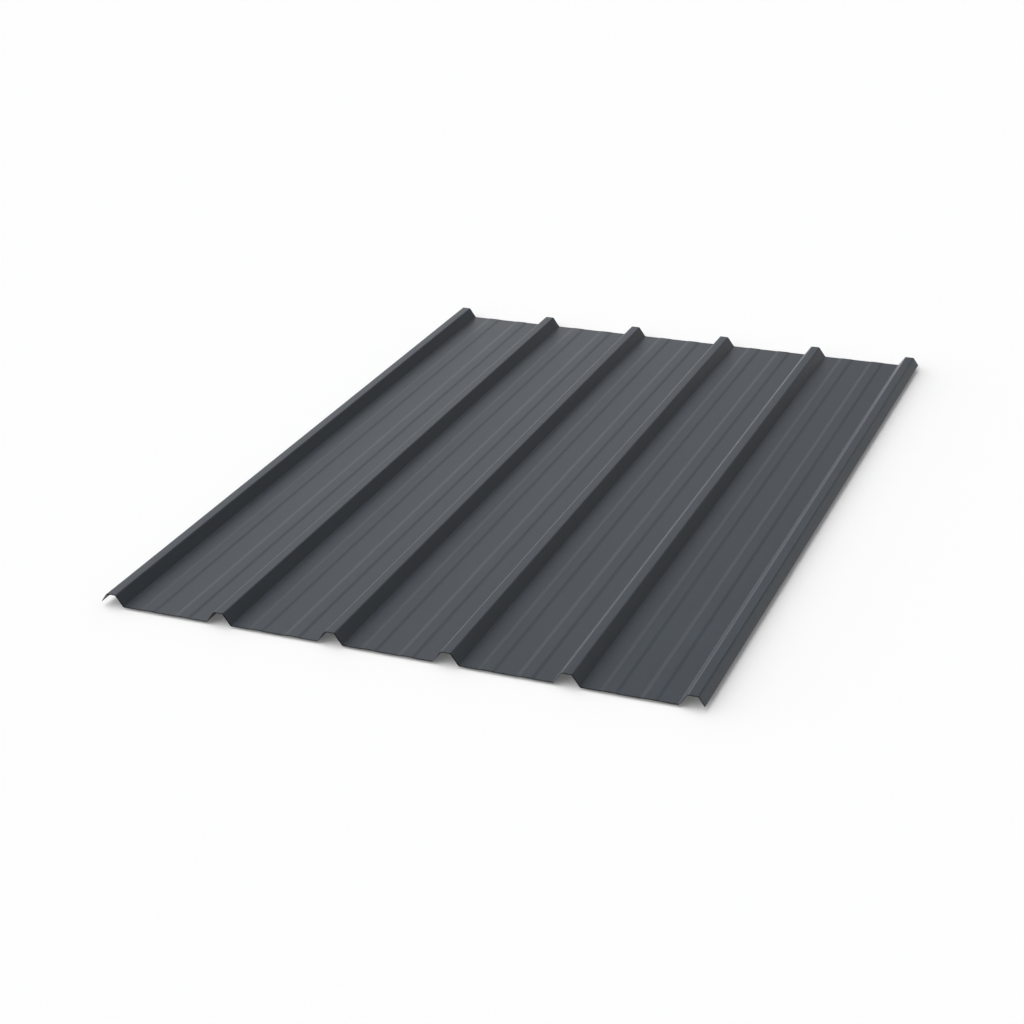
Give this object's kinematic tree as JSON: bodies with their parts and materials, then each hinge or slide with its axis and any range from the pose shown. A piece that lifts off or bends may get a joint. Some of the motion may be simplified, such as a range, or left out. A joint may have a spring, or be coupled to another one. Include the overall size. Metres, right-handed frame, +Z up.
{
  "type": "trapezoidal corrugated metal sheet",
  "caption": "Roll-formed steel roof and wall sheet with trapezoidal ribs, low stiffening ribs in its flat pans and open lap edges, painted anthracite grey.",
  "frame": {"origin": "middle of the sheet's plan, on the plane of the pans' undersides that it lies on", "axes": "+X across the ribs, +Y along the ribs from the picture's near end to its far end, +Z up through the crests"},
  "size_m": [1.0384, 1.5, 0.02],
  "materials": {
    "painted_steel": "satin anthracite grey coil coating on both faces"
  },
  "bodies": {
    "root": {"profiled_sheet": "painted_steel"}
  },
  "joints": []
}
